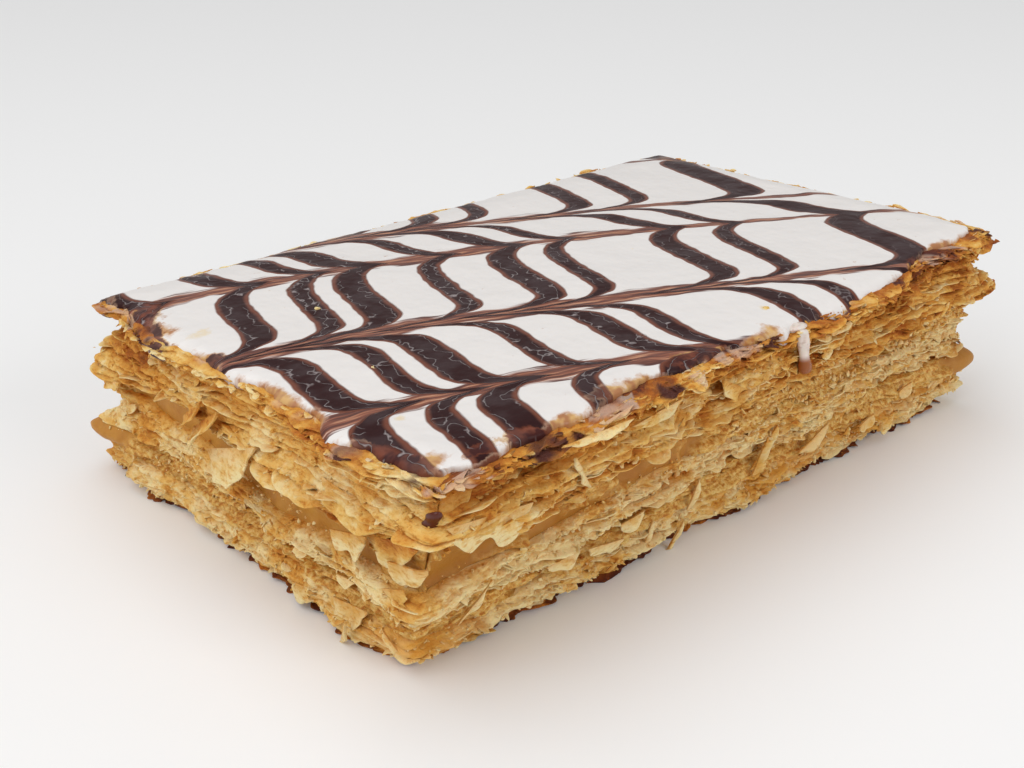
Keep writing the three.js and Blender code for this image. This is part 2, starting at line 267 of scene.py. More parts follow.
def cut_swell(along, share):
    """The slow swells and dents that the knife left, under the leaves."""
    x, y = plan_at(along)
    out = 0.9 * lumps(x, y, 12, share * 6, 3) + 0.5 * lumps(x, y, 4.5, share * 14, 4)
    for corner, level, stand, reach, tall in SWELLS:
        out = out + stand * hill(from_corner(corner, x, y) / reach, (share - level) / tall)
    for spot, reach, bulge in RIMS:
        out = out + bulge * hill(walk_past(along, spot) / reach) * smooth(share, 0.8, 0.97)
    return out


def wiped_at(x, y):
    """Where the knife wiped the upper cream clean: the near end, and the long side's first part."""
    end = hill(x / 7) * (1 - smooth(y, 62, 69)) * (0.35 + 0.65 * smooth(y, 6, 14))
    side = hill(y / 7) * smooth(x, 0.8, 4) * (1 - smooth(x, 38, 58))
    return np.maximum(end, 0.6 * side)


def sag_at(along):
    """How far the lowest leaf of the top sheet hangs over the cream, as a share of height."""
    x, y = plan_at(along)
    room = share_at(TOP_FLOOR, x, y) - share_at(MIDDLE_ROOF, x, y)
    ragged = 0.2 + 0.8 * lumps(x, y, 9, 0.5, 5) + 0.5 * lumps(x, y, 3, 0.5, 6)
    ragged = ragged * (1 - 0.85 * wiped_at(x, y))
    left = hill((x + 0.7) / 9, (y - 73.6) / 9)
    return 0.45 * room * np.clip(ragged + 1.6 * left, 0, 1.2)


def ridges(x, y, z, sheet):
    """Leaf by leaf relief: how far each spot stands out, and how deep it lies in a slit, which
    the paint shows as painted shade.
    """

    def own(size, level, which):
        return lumps(x, y, size, level, sheet["seed"] + which)

    pitch = sheet["pitch"]
    level = z + 1.1 * own(21, z / 9, 0) + 0.4 * own(5, z / 3, 0)
    leaf = np.floor(level / pitch)
    part = level / pitch - leaf
    ledge = smooth(part, 0.0, 0.16) * (1 - smooth(part, 0.6, 0.84))
    stand = 0.8 * own(8, leaf * 2.31, 1) + 0.6 * own(2.6, leaf * 1.73, 2)
    stand = stand + 0.34 * own(1.1, leaf * 1.37, 6)
    closed = smooth(own(7, leaf * 1.9, 7), sheet["open"], sheet["open"] + 0.5)
    slit = sheet["slit"] * (1 - ledge) * (1 - 0.8 * closed)
    tier = level / (pitch * 2.6) + 0.35 * own(13, 0.5, 8)
    shelf = np.floor(tier)
    under = 1 - smooth(tier - shelf, 0.0, 0.16)
    stand = stand + 0.75 * own(12, shelf * 2.7, 9) * (1 - under)
    stand = stand + 0.45 * own(3.2, shelf * 1.7, 10)
    slit = slit + sheet["step"] * under
    torn = smooth(own(4.2, leaf * 3.1, 3), 0.3, 0.42) * ledge
    crumb = own(1.2, z / 0.42, 4) + 0.6 * own(0.5, z / 0.27, 5)
    out = stand * (0.4 + 0.6 * ledge) - slit - 0.7 * torn + sheet["crumb"] * crumb
    deep = np.clip(slit / 1.5 + 0.35 * torn - 0.28 * stand - 0.3 * crumb, 0, 1)
    return out, deep


def cut_face(sheet, along, part):
    """Share of the height, outward stand and depth at a part (0 floor, 1 roof) of a sheet."""
    x, y = plan_at(along)
    low, high = share_at(sheet["floor"], x, y), share_at(sheet["roof"], x, y)
    share = low + (high - low) * part
    centres = (np.arange(len(sheet["leaves"])) + 0.5) / len(sheet["leaves"])
    base = np.interp(part, centres, sheet["leaves"]) + cut_swell(along, share)
    if sheet["sags"]:
        share = share - sag_at(along) * (1 - smooth(part, 0.0, 0.3))
    relief, deep = ridges(x, y, share * CRUST_LEVEL, sheet)
    calm = 1 - 0.45 * hill(x / 6)
    edge = np.exp(-part.clip(0) / 0.05) + np.exp((part.clip(0, 1) - 1) / 0.05)
    return share, base + relief * calm - 0.7 * edge, deep * calm


def toast_at(along, share):
    """How brown the pastry is: most on the crust, more on the long side that faced the heat. Part
    of that extra brown is painted shade, and the near-black foot is partly painted shadow.
    """
    x, y = plan_at(along)
    facing = facing_at(along)
    top = 0.13 + facing * (0.12 + 0.12 * smooth(x, 55, 115))
    toast = 0.15 + 0.06 * hill(x / 6) + 0.1 * hill(x / 22, (y - 74) / 22)
    toast = toast + smooth(share, 0.55, 0.68) * top
    toast = toast + (0.06 + 0.13 * facing) * smooth(share, 0.84, 0.97)
    # nearly black at the foot: partly a browned underside, partly painted shadow under the slice
    toast = toast + 0.85 * (1 - smooth(share, 0.012, 0.035))
    return toast + 0.13 * lumps(x, y, 8, share * 5, 8) + 0.1 * lumps(x, y, 2.6, share * 13, 9)


def amber_at(along, share):
    """Where cream was smeared over the lower leaves of the long near side."""
    x, y = plan_at(along)
    zone = hill((x - 78) / 26, (share - 0.2) / 0.14) * facing_at(along)
    foot = hill(x / 11, y / 11, (share - 0.12) / 0.1)
    return smooth(zone + 1.3 * foot + 0.45 * lumps(x, y, 5, share * 9, 61) + 0.15, 0.45, 0.75)


def to_metres(xy, z):
    return np.concatenate([xy - MIDDLE, np.asarray(z, float)[..., None]], -1) * 0.001


def read_points(mesh):
    flat = np.empty(len(mesh.vertices) * 3)
    mesh.vertices.foreach_get("co", flat)
    return flat.reshape(-1, 3)


def write_values(mesh, **values):
    for name, each in values.items():
        layer = mesh.attributes.new(name, "FLOAT", "POINT")
        spread = np.broadcast_to(np.ravel(each), len(mesh.vertices))
        layer.data.foreach_set("value", spread.ravel())


def pastry_values(mesh, toast, deep=0.0, amber=0.0, cocoa=0.0, glaze=0.0):
    write_values(mesh, toast=toast, deep=deep, amber=amber, cocoa=cocoa, glaze=glaze)


def add_piece(name, mesh, material, node=None, crease=48):
    mesh.materials.append(material)
    mesh.shade_smooth()
    mesh.set_sharp_from_angle(angle=math.radians(crease))
    piece = show(name, mesh)
    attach(piece, "root")
    if node:
        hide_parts(node)


def connect(node, wires):
    """Set each socket to a value, or link it to another node's."""
    for key, value in wires.items():
        if isinstance(value, bpy.types.NodeSocket):
            node.id_data.links.new(value, node.inputs[key])
        else:
            node.inputs[key].default_value = value


def put(tree, kind, settings=None, **wires):
    """A shader node; wires go to its sockets, by name or by number as s0, s1 and so on."""
    made = tree.nodes.new(kind)
    for key, value in (settings or {}).items():
        setattr(made, key, value)
    numbered = {int(key[1:]) if key[1:].isdigit() else key: wires[key] for key in wires}
    connect(made, numbered)
    return made


def sums(operation, a, b=0.0, c=0.0, clamp=False):
    settings = {"operation": operation, "use_clamp": clamp}
    tree = next(part.id_data for part in (a, b, c) if isinstance(part, bpy.types.NodeSocket))
    return put(tree, "ShaderNodeMath", settings, s0=a, s1=b, s2=c).outputs[0]


def times(a, b):
    return sums("MULTIPLY", a, b)


def scaled(a, factor, plus, clamp=False):
    return sums("MULTIPLY_ADD", a, factor, plus, clamp)


def blend(amount, one, other):
    settings = {"data_type": "RGBA"}
    return put(amount.id_data, "ShaderNodeMix", settings, s0=amount, s6=one, s7=other).outputs[2]


def lay(colour, mask, strength, tint):
    """A tint laid over a colour where the mask is, at some strength."""
    return blend(times(mask, strength), colour, tint)


def ramp(value, *stops):
    made = put(value.id_data, "ShaderNodeValToRGB", s0=value)
    while len(made.color_ramp.elements) < len(stops):
        made.color_ramp.elements.new(0.5)
    for element, (place, colour) in zip(made.color_ramp.elements, stops):
        element.position = place
        element.color = (*colour, 1)
    return made.outputs[0]


def speckle(tree, scale, detail=3.0, rough=0.55, where=None):
    where = where or put(tree, "ShaderNodeTexCoord").outputs["Object"]
    sockets = {"Vector": where, "Scale": scale, "Detail": detail, "Roughness": rough}
    return put(tree, "ShaderNodeTexNoise", **sockets).outputs[0]


def value_of(tree, name, output="Fac"):
    return put(tree, "ShaderNodeAttribute", {"attribute_name": name}).outputs[output]


def band(value, low, high):
    settings = {"interpolation_type": "SMOOTHSTEP"}
    return put(value.id_data, "ShaderNodeMapRange", settings, s0=value, s1=low, s2=high).outputs[0]


def finish(shader, colour, relief, bump, shine, soak):
    """Colour and shine, the depth (m) and strength of the fine relief, and how light soaks in: how
    much of it, how far (m), and how far each colour goes."""
    settings = {"Height": relief, "Distance": bump[0], "Strength": bump[1]}
    bumps = put(shader.id_data, "ShaderNodeBump", **settings)
    wires = {"Base Color": colour, "Normal": bumps.outputs[0], "Specular IOR Level": shine}
    keys = ("Subsurface Weight", "Subsurface Scale", "Subsurface Radius")
    connect(shader, {**wires, **dict(zip(keys, soak))})


def pastry_paint():
    """Butter pastry: cream-coloured inside, golden to brown where it baked, with painted shade
    in amber to brown in the slits, between the leaves and where the fine relief dips.
    """
    material, tree, shader = paint("puff_pastry", 0.7)
    place = put(tree, "ShaderNodeTexCoord").outputs["Object"]
    layered = put(tree, "ShaderNodeMapping", Vector=place, Scale=(1, 1, 2.8)).outputs[0]
    leaves = speckle(tree, 750, 4, 0.6, layered)
    relief = scaled(speckle(tree, 2300, 4, 0.65), 0.5, leaves)
    broad = sums("ADD", speckle(tree, 85, 2, 0.5, layered), speckle(tree, 260, 3))
    broad = scaled(broad, 1.05, -1.05)
    # tone that varies at random, plus painted shade: browner where the fine relief dips
    tone_and_hollow_shade = sums("ADD", broad, scaled(relief, -0.55, 0.41))
    amount = sums("ADD", value_of(tree, "toast"), tone_and_hollow_shade, clamp=True)
    pale = (0.0, (0.96, 0.76, 0.39)), (0.25, (0.86, 0.53, 0.15))
    brown = (0.48, (0.76, 0.355, 0.058)), (0.74, (0.48, 0.155, 0.022)), (1.0, (0.085, 0.02, 0.014))
    colour = ramp(amount, *pale, *brown)
    # painted shade: the slit colour, laid where a spot lies deep in a slit or recess
    slit = ramp(amount, (0.0, (0.68, 0.27, 0.026)), (0.6, (0.42, 0.10, 0.008)))
    deep = sums("MULTIPLY", value_of(tree, "deep"), 0.95, clamp=True)
    colour = blend(deep, colour, slit)
    # painted shade in the dips of the fine leaf relief, between the leaves
    colour = lay(colour, band(leaves, 0.47, 0.33), 0.5, slit)
    colour = lay(colour, value_of(tree, "amber"), 0.7, (0.74, 0.34, 0.048, 1))
    colour = blend(value_of(tree, "glaze"), colour, (0.76, 0.58, 0.46, 1))
    cocoa = value_of(tree, "cocoa")
    colour = blend(cocoa, colour, (0.085, 0.022, 0.014, 1))
    connect(shader, {"Roughness": scaled(cocoa, -0.35, 0.7)})
    finish(shader, colour, relief, (0.0006, 0.9), 0.2, (0.2, 0.0006, (1.0, 0.75, 0.45)))
    return material


PASTRY = pastry_paint()
SPILLS = [  # chocolate that ran onto the leaves: walk from the near corner, share, reach, band
    (12, 0.97, 4, 0.05), (15.5, 0.92, 3, 0.04), (20, 0.985, 3, 0.03), (-6, 0.99, 3, 0.03),
    (-13, 0.995, 3, 0.03), (-58, 0.985, 9, 0.035), (36, 0.99, 3, 0.02), (57, 0.99, 4, 0.03),
    (120, 0.99, 4, 0.03),
]


def cocoa_at(along, share):
    """Where melted chocolate stained the leaves."""
    x, y = plan_at(along)
    stain = 0.5 * lumps(x, y, 2.2, share * 14, 62)
    for spot, level, reach, tall in SPILLS:
        stain = stain + hill(walk_past(along, spot) / reach, (share - level) / tall)
    return smooth(stain, 0.55, 0.95)


def glaze_at(along, share):
    """Thin icing that crept over the leaves of the rim, most at the near and left corners."""
    x, y = plan_at(along)
    patch = lumps(x, y, 3, share * 16, 63) + 0.5 * lumps(x, y, 1.1, share * 30, 64)
    for spot in (3, -73):
        patch = patch + 0.5 * hill(walk_past(along, spot) / 11)
    rise = np.minimum((share - 0.955) / 0.05, 0.75)
    return 0.5 * smooth(rise + 0.9 * patch, 0.85, 1.2)


def unrolled(name, columns, rows, flange):
    """A flat grid to wrap round the slice. Each point has a walk, a part of the layer's height, and
    how far it is turned in: the flange rows go over the roof and under the floor."""
    total = rows + 2 * flange
    bm = bmesh.new()
    bmesh.ops.create_grid(bm, x_segments=columns, y_segments=total, size=0.5)
    mesh = mesh_from(bm, name)
    at = read_points(mesh)
    row = np.rint((at[:, 1] + 0.5) * total)
    part = np.clip((row - flange) / rows, 0, 1)
    inset = np.maximum(flange - row, row - flange - rows).clip(0) / flange
    return mesh, (at[:, 0] + 0.5) * ROUND, part, inset


def turned_in(xy, inset):
    """Drawn toward the middle of the slice, by up to 15% of the way."""
    return xy + (MIDDLE - xy) * (0.15 * inset)[:, None]


def seal(bm, mesh):
    """Cap what is open, turn the faces outwards and write it to the mesh."""
    bmesh.ops.holes_fill(bm, edges=[edge for edge in bm.edges if edge.is_boundary])
    bmesh.ops.recalc_face_normals(bm, faces=bm.faces)
    bm.to_mesh(mesh)
    bm.free()


def join_ends(mesh):
    """Join the two ends of a wrapped grid, and seal it."""
    bm = bmesh.new()
    bm.from_mesh(mesh)
    bmesh.ops.remove_doubles(bm, verts=bm.verts, dist=1e-6)
    seal(bm, mesh)


def sheet_body(name, sheet, rows):
    """One closed body: its cut face all the way round, turned in over the cream and under."""
    mesh, along, part, inset = unrolled(name, sheet["columns"], rows, flange=9)
    share, out, deep = cut_face(sheet, along, part)
    xy = turned_in(cut_point(along, share, out * (1 - inset)), inset**1.3)
    z = share * crust_height(xy)
    if sheet["node"] == "pastry_bottom":
        lift = 0.3 + 0.35 * lumps(*plan_at(along), 7, 0.5, 12)
        z = np.where(part < 0.12, np.maximum(z, lift * (1 - inset).clip(0)), z).clip(0)
    toast = toast_at(along, share) + 0.1 * grain(along / 3, z / 1.1, 0.5, sheet["seed"])
    # painted shade: browner where the spot lies deep in a slit
    toast = toast + 0.2 * (deep - 0.3)
    if sheet["sags"]:
        crown = (inset > 0) * (part > 0.5)
        flaky = lumps(*xy.T, 1.6, 0.5, 13) + 0.6 * lumps(*xy.T, 0.7, 0.5, 14)
        z = z + 0.3 * flaky * crown
        toast = toast + (0.04 + 0.14 * facing_at(along) + 0.15 * flaky) * crown
    mesh.vertices.foreach_set("co", to_metres(xy, z).ravel())
    blot = smooth(lumps(*xy.T, 2.1, share * 9, 15), -0.35, 0.15)
    cocoa, glaze = cocoa_at(along, share) * blot, glaze_at(along, share) * blot
    pastry_values(mesh, toast, deep, amber_at(along, share), cocoa, glaze)
    join_ends(mesh)
    add_piece(name, mesh, PASTRY, sheet["node"], crease=80)


def template_of(bm):
    """A small shape's corners, the corner numbers of its faces, and how many each face has."""
    mesh = mesh_from(bm, "template")
    points = read_points(mesh)
    loops = np.empty(len(mesh.loops), int)
    mesh.loops.foreach_get("vertex_index", loops)
    sides = np.empty(len(mesh.polygons), int)
    mesh.polygons.foreach_get("loop_total", sides)
    bpy.data.meshes.remove(mesh)
    return points, loops, sides


def flake_template(across, deep):
    """A slab one unit long, deep and thick, with a few dozen faces."""
    bm = bmesh.new()
    bmesh.ops.create_grid(bm, x_segments=across, y_segments=deep, size=0.5)
    bmesh.ops.solidify(bm, geom=bm.faces[:], thickness=1.0)
    bmesh.ops.recalc_face_normals(bm, faces=bm.faces)
    points, loops, sides = template_of(bm)
    points[:, 2] -= points[:, 2].min()
    points[:, 2] /= points[:, 2].max()
    return points, loops, sides


def joined(name, points, loops, sides, count):
    """One mesh from many copies of a template whose corners have already been placed."""
    mesh = bpy.data.meshes.new(name)
    each = points.shape[0] // count
    mesh.vertices.add(points.shape[0])
    mesh.vertices.foreach_set("co", points.ravel())
    every = (loops[None, :] + np.arange(count)[:, None] * each).ravel()
    total = np.tile(sides, count)
    mesh.loops.add(len(every))
    mesh.loops.foreach_set("vertex_index", every)
    mesh.polygons.add(len(total))
    mesh.polygons.foreach_set("loop_start", np.concatenate([[0], np.cumsum(total)[:-1]]))
    mesh.polygons.foreach_set("loop_total", total)
    mesh.update(calc_edges=True)
    return mesh


def flakes(name, template, seed, chips, node=None, ragged=0.55):
    """Torn leaves on the cut face. Each chip has a place (along, share, out), a length and a
    reach in mm, a tilt from straight out (0) to hanging flat (-90), a slant and a thickness."""
    corner, loops, sides = template
    u, v, w = corner[:, 0], corner[:, 1] + 0.5, corner[:, 2]
    count = len(chips["along"])
    chip = {key: np.asarray(value, float)[:, None] for key, value in chips.items()}
    own = np.arange(count)[:, None] * 7.31
    tear = grain(u * 2.2 + own, own, 0.5, seed) + 0.35 * grain(u * 5 + own, own, 1.5, seed)
    ends = 1 - np.abs(2 * u) ** 3 * 0.5
    reach = chip["reach"] * v * ends * (1 + ragged * tear)
    length = chip["length"] * (1 - chip["taper"] * v)
    side = 0.12 * grain(own, v * 3.0, u * 2, seed + 1) * np.minimum(length, 3)
    lean = np.radians(chip["tilt"] + chip["curl"] * (v - 0.3))
    wave = chip["wave"] * np.sin(u * chip["length"] * 1.3 + own) * (0.3 + v)
    thick = chip["thick"] * (w - 0.5) * (1 - 0.5 * v)
    outward = reach * np.cos(lean) - thick * np.sin(lean) + wave * np.abs(np.sin(lean))
    up = reach * np.sin(lean) + thick * np.cos(lean) + wave * np.cos(lean)
    slant = np.radians(chip["slant"])
    run = (u * length + side) * np.cos(slant) - up * np.sin(slant)
    rise = (u * length + side) * np.sin(slant) + up * np.cos(slant)
    along = chip["along"] + run
    share = chip["share"] + rise / crust_height(on_ring(RING_MID, along))
    xy = cut_point(along, share, chip["out"] + outward)
    z = np.maximum(share * crust_height(xy), 0.02 + 0.1 * w)
    mesh = joined(name, to_metres(xy, z).reshape(-1, 3), loops, sides, count)
    toast = chip["toast"] - 0.06 * v - 0.14 * v**4
    # painted shade: darker amber toward each chip's root, where it meets the cut face
    deep = chip["deep"] * (1 - v) ** 2
    cocoa = cocoa_at(along, share) * chip["stains"]
    glaze = glaze_at(along, share) * chip["stains"]
    pastry_values(mesh, toast, deep, amber_at(along, share) * 0.4, cocoa, glaze)
    add_piece(name, mesh, PASTRY, node)


def scatter(sheet, count, seed, length, reach, tilt, parts, slants, tone, sunk=0.5, walk=(0, ROUND)):
    """Random chips over a part of a sheet's cut face, sunk a little way into it."""
    draw = np.random.default_rng(seed)
    along = draw.uniform(*walk, count)
    along = along[draw.uniform(0, 1, count) > 0.5 * hill(plan_at(along)[0] / 6)]
    count = len(along)
    part = draw.uniform(*parts, count)
    share, out, _ = cut_face(sheet, along, part)
    return {
        "along": along,
        "share": share,
        "out": out - sunk,
        "length": length[0] * (length[1] / length[0]) ** (draw.uniform(0, 1, count) ** 1.5),
        "reach": draw.uniform(*reach, count),
        "tilt": draw.uniform(*tilt, count),
        "curl": draw.normal(0, 18, count),
        "slant": draw.normal(0, slants, count),
        "thick": draw.uniform(0.16, 0.3, count),
        "taper": draw.uniform(0.0, 0.5, count),
        "wave": draw.uniform(0.02, 0.14, count),
        "toast": toast_at(along, share) + draw.normal(tone, 0.1, count),
        # how much painted shade the chips get at their roots
        "deep": np.full(count, 0.7),
        "stains": np.ones(count),
    }


def together(*groups):
    return {key: np.concatenate([group[key] for group in groups]) for key in groups[0]}


def torn_from(sheet, name, template, seed, *groups):
    """One piece of torn leaves. Each group says how many, its seed, the length, reach, tilt and
    part of the sheet between two values, the spread of slants, the browning, and how far sunk."""
    chips = together(*(scatter(sheet, *group) for group in groups))
    flakes(name, template, seed, chips, sheet["node"])


LEDGE, CHIP, SHRED = flake_template(14, 1), flake_template(6, 2), flake_template(4, 1)
# Leaves stand out by some millimetres from the floor up, and lie one pitch apart. Slits and steps
# are as deep as they say, fewer are open where open is low, and crumb is the roughness.
BOTTOM = dict(
    node="pastry_bottom", slot="pale_pastry", floor=GROUND, roof=BOTTOM_ROOF, columns=1200,
    leaves=(-0.4, 1.0, 0.4), pitch=0.85, slit=0.5, step=0.8, open=-0.35, crumb=0.26,
    seed=20, sags=False,
)
sheet_body("bottom_sheet", BOTTOM, 40)
# nearly black chips along the foot: partly browned underside, partly painted shadow under the slice
underside = scatter(BOTTOM, 420, 103, (2.5, 7), (0.8, 1.5), (-14, 4), (0.02, 0.06), 4, 0)
underside["share"] = 0.012 + 0 * underside["share"]
underside["toast"] = 1.15 + 0 * underside["toast"]
ledges = scatter(BOTTOM, 260, 101, (2, 10), (0.7, 1.5), (-40, 10), (0.12, 1), 5, -0.06)
ledges = together(ledges, underside)
flakes("bottom_ledges", LEDGE, 110, ledges, "pastry_bottom")
chips = (170, 102, (0.5, 2.6), (0.4, 1.1), (-100, -55), (0.2, 1.0), 35, -0.1, 0.05)
torn_from(BOTTOM, "bottom_leaves", CHIP, 111, chips)
shreds = (1700, 104, (0.3, 1.3), (0.2, 0.7), (-100, 10), (0.12, 1.0), 40, -0.08, 0.1)
torn_from(BOTTOM, "bottom_shreds", SHRED, 112, shreds)


# Lower cream: a thin layer of set custard. The knife dragged crumbs across it, so it shows its
# own smooth face only where it swells at the left and right corners.
def cream_paint():
    material, tree, shader = paint("set_custard", 0.5)
    clean = value_of(tree, "clean")
    mottle = scaled(speckle(tree, 190, 4, 0.65), 2.6, -0.8, clamp=True)
    custard = blend(mottle, (0.60, 0.30, 0.048, 1), (0.45, 0.185, 0.022, 1))
    # painted shade: the cream on the long near face is darker, as that face lies in shade
    custard = blend(value_of(tree, "baked"), custard, (0.36, 0.135, 0.018, 1))
    grit = speckle(tree, 1300, 5, 0.65)
    browns = (0.38, (0.52, 0.19, 0.024)), (0.5, (0.74, 0.41, 0.09)), (0.62, (0.86, 0.60, 0.22))
    tint = blend(clean, ramp(grit, *browns), custard)
    height = times(grit, scaled(clean, -0.75, 1.0))
    finish(shader, tint, height, (0.0006, 0.8), 0.3, (0.2, 0.001, (1.0, 0.7, 0.35)))
    return material


CREAM = cream_paint()
CRUMBED = {"pitch": 0.8, "slit": 0.4, "step": 0.6, "open": -0.3, "crumb": 0.28, "seed": 50}


def cream_layer(name, node, floor, roof, recess, wiped, seed):
    """A cream layer's face: smooth where the knife wiped it, packed with crumbs elsewhere."""
    mesh, along, part, inset = unrolled(name, columns=1000, rows=26, flange=4)
    x, y = plan_at(along)
    low, high = share_at(floor, x, y), share_at(roof, x, y)
    share = low + (high - low) * part
    corners = 0.8 * hill(from_corner(1, x, y) / 9) + hill(from_corner(3, x, y) / 9)
    patch = lumps(x, y, 4, share * 9, seed + 2) + 0.5 * lumps(x, y, 1.5, share * 20, seed + 3)
    clean = wiped * wiped_at(x, y) + (1 - 0.6 * wiped) * corners + 0.28 * patch
    clean = smooth(clean, 0.3, 0.6)
    belly = np.sin(part * math.pi)
    out = cut_swell(along, share) * 0.7 - recess - 0.4 * belly
    out = out + 0.5 * lumps(x, y, 6, part * 1.5, seed)
    out = out + 0.15 * lumps(x, y, 1.8, part * 2.5, seed + 1)
    relief, _ = ridges(x, y, share * CRUST_LEVEL, CRUMBED)
    out = out + (1 - clean) * (relief * 0.8 + recess * 0.45 + 0.35)
    out = out + 1.9 * (1 - wiped) * corners * belly
    xy = turned_in(cut_point(along, share, out), inset)
    mesh.vertices.foreach_set("co", to_metres(xy, share * crust_height(xy)).ravel())
    # the baked value is painted shade on the long near face, not browning
    write_values(mesh, clean=clean, baked=0.55 * facing_at(along))
    join_ends(mesh)
    add_piece(name, mesh, CREAM, node, crease=80)


cream_layer("lower_cream", "cream_lower", BOTTOM_ROOF, MIDDLE_FLOOR, recess=0.5, wiped=0.0, seed=81)


# Middle sheet: puff pastry baked with the bottom one, a little thicker, with more of its pale
# inside showing. Chips and shreds hang from its lower edge, over the crumbs of the lower cream.
MIDDLE_SHEET = dict(
    BOTTOM, node="pastry_middle", floor=MIDDLE_FLOOR, roof=MIDDLE_ROOF,
    leaves=(-0.3, 0.5, 0.3), step=0.9, seed=30,
)
FAR_SIDE = (NEAR + 52, RIGHT + 40)
sheet_body("middle_sheet", MIDDLE_SHEET, 42)
ledges = (360, 201, (2, 10), (0.7, 1.5), (-40, 10), (0.03, 0.93), 5, -0.08)
torn_from(MIDDLE_SHEET, "middle_ledges", LEDGE, 210, ledges)
chips = (190, 202, (0.5, 2.2), (0.4, 1.1), (-100, -55), (0.1, 0.95), 45, -0.12, 0.05)
hanging = (200, 203, (0.6, 2.6), (0.5, 1.4), (-95, -60), (-1.1, 0.1), 45, -0.1, 0.3)
torn_from(MIDDLE_SHEET, "middle_leaves", CHIP, 211, chips, hanging)
shreds = (1900, 204, (0.3, 1.3), (0.2, 0.7), (-100, 10), (0.05, 0.97), 40, -0.08, 0.1)
hanging = (900, 205, (0.4, 1.6), (0.3, 0.9), (-95, -30), (-1.1, 0.1), 40, -0.08, 0.2)
above = (600, 206, (0.4, 1.8), (0.3, 0.9), (-95, -30), (1, 1.7), 30, -0.05, 0.2, FAR_SIDE)
torn_from(MIDDLE_SHEET, "middle_shreds", SHRED, 212, shreds, hanging, above)


# Upper cream: the thick band of set custard between the middle and top sheets, wiped smooth
# and set back by the knife.
cream_layer("upper_cream", "cream_upper", MIDDLE_ROOF, TOP_FLOOR, recess=1.4, wiped=1.0, seed=91)


# Top sheet: the tallest and brownest sheet. Its leaves opened like a book in the oven, and the
# lowest ones hang over the cream.
TOP = dict(
    node="pastry_top", slot="baked_pastry", floor=TOP_FLOOR, roof=CRUST, columns=1000,
    leaves=(0.7, 1.5, 0.7, -0.5, 0.3), pitch=1.05, slit=0.9, step=1.4, open=-0.1, crumb=0.2,
    seed=40, sags=True,
)
sheet_body("top_sheet", TOP, 78)
ledges = (420, 301, (2.5, 12), (0.8, 1.9), (-30, 12), (0.1, 0.97), 4, -0.04)
crust_ledges = (200, 303, (2, 7), (0.7, 1.5), (-40, 5), (0.92, 1.0), 7, -0.03)
torn_from(TOP, "top_ledges", LEDGE, 309, ledges, crust_ledges)
chips = (250, 302, (0.6, 3.0), (0.4, 1.5), (-95, -50), (0.2, 0.95), 35, -0.06, 0.15)
crust_chips = (240, 304, (0.6, 2.6), (0.4, 1.0), (-70, 5), (0.88, 1.0), 20, -0.04, 0.4)
torn_from(TOP, "top_leaves", CHIP, 310, chips, crust_chips)
shreds = (2300, 305, (0.3, 1.5), (0.2, 0.8), (-95, 15), (0.12, 0.99), 30, -0.04, 0.1)
torn_from(TOP, "top_shreds", SHRED, 311, shreds)


# Torn leaves that stand out by their size: folded flaps, planks, needles and curls, each where
# the knife left it. They are the same pastry, and each is stuck by its upper edge.
TORN_KEYS = ("along", "share", "length", "reach", "tilt", "slant", "curl", "thick", "toast", "out")
ON_SHORT_SIDE = [  # the keys above, with the walk from the left corner
    (37, 0.67, 12, 5.2, -64, 24, -10, 0.4, 0.2, 1.7),
    (31, 0.74, 7.5, 3.8, -58, 38, 25, 0.4, 0.3, 1.9),
    (27.5, 0.75, 6, 3.2, -60, 42, 25, 0.4, 0.32, 1.5),
    (4.5, 0.60, 5, 1.4, -60, 14, 0, 0.4, 0.2, 0.2),
    (62, 0.18, 7, 3.2, -72, 12, 0, 0.3, 0.08, 0.8),
    (72, 0.13, 6.6, 0.7, -60, -29, 0, 0.4, 0.1, 0.9),
    (63.5, 0.07, 4.2, 0.9, -70, 84, 0, 0.5, 0.12, 1.3),
    (52.5, 0.11, 5, 2.4, -72, 15, 0, 0.3, 0.1, 0.7),
    (3.2, 0.38, 4, 1.2, -75, 38, 0, 0.3, 0.15, 0.2),
    (7.3, 0.48, 2.6, 1.2, -70, 20, 0, 0.25, 0.1, 0.4),
    (37.8, 0.53, 3.5, 0.7, -60, -20, 0, 0.25, 0.06, 0.4),
    (60.8, 0.32, 3.5, 1.4, -70, 8, 0, 0.3, 0.08, 0.7),
    (46, 0.68, 9, 1.8, -50, -3, 10, 0.3, 0.28, 0.7),
    (52, 0.72, 12, 2, -45, -3, 12, 0.3, 0.3, 0.6),
    (62, 0.80, 13, 3.2, -48, -3, -8, 0.3, 0.36, 0.3),
]
